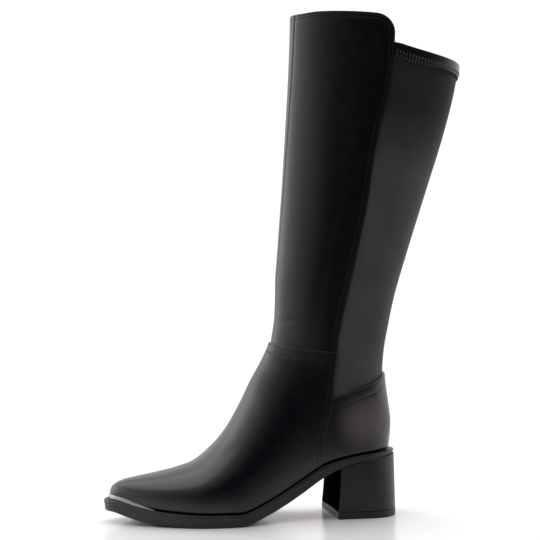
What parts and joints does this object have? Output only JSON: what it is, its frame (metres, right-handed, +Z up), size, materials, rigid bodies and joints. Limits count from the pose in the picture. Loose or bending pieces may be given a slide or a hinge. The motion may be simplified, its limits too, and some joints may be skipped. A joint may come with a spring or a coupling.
{
  "type": "knee-high boot",
  "caption": "Knee-high boot for the left foot: pointed toe, leather front, stretch back with a stitched hem, rubber sole with a block heel and a toe plate.",
  "frame": {"origin": "middle of the bounding box's underside, on the floor that the boot stands on", "axes": "-X toe, +X heel and calf, +Y inner side of the foot, -Y outer side, +Z up"},
  "size_m": [0.3348, 0.0898, 0.4634],
  "materials": {
    "black_leather": "smooth, soft shine",
    "stretch_cloth": "matte, fine even knit",
    "lining": "matte",
    "black_rubber": "satin",
    "wear_rubber": "matte",
    "dark_metal": "gunmetal shine"
  },
  "bodies": {
    "root": {"upper": "black_leather", "shaft_lateral": "black_leather", "shaft_medial": "black_leather", "stretch_panel": "stretch_cloth", "stretch_hem": "stretch_cloth", "insole": "lining", "outsole": "black_rubber", "heel": "black_rubber", "top_piece": "wear_rubber", "toe_plate": "dark_metal"}
  },
  "joints": []
}
